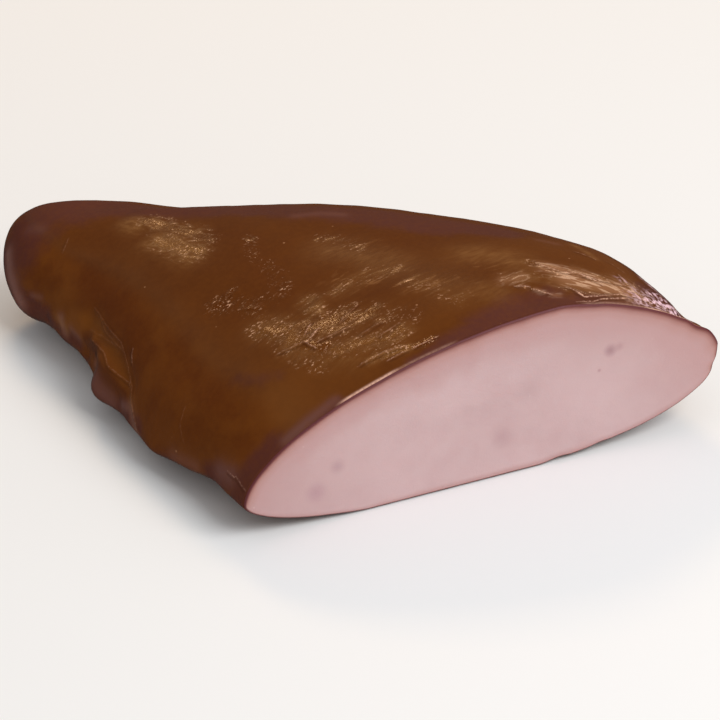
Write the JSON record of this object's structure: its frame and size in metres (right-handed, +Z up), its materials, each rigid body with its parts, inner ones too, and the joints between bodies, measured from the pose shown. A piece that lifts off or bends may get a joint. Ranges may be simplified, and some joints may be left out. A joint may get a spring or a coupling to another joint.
{
  "type": "smoked turkey breast",
  "caption": "Boneless smoked turkey breast lobe in its browned glossy skin, cut straight across its thick end to show pale pink meat, with folds along one side and a round tip.",
  "frame": {"origin": "on the table, under the middle of the piece's box", "axes": "+Z up from the table; the flat cut face looks along -Y and the round tip lies towards +Y, on the -X side; +X runs along the cut towards its blunt end"},
  "size_m": [0.1994, 0.191, 0.065],
  "materials": {
    "smoked_skin": "smoked brown skin, smooth and moist, with a wet gloss over fine wrinkles; the cut end is pale pink meat with a matt moist face and a darker rim"
  },
  "bodies": {
    "root": {"turkey_breast": "smoked_skin"}
  },
  "joints": []
}
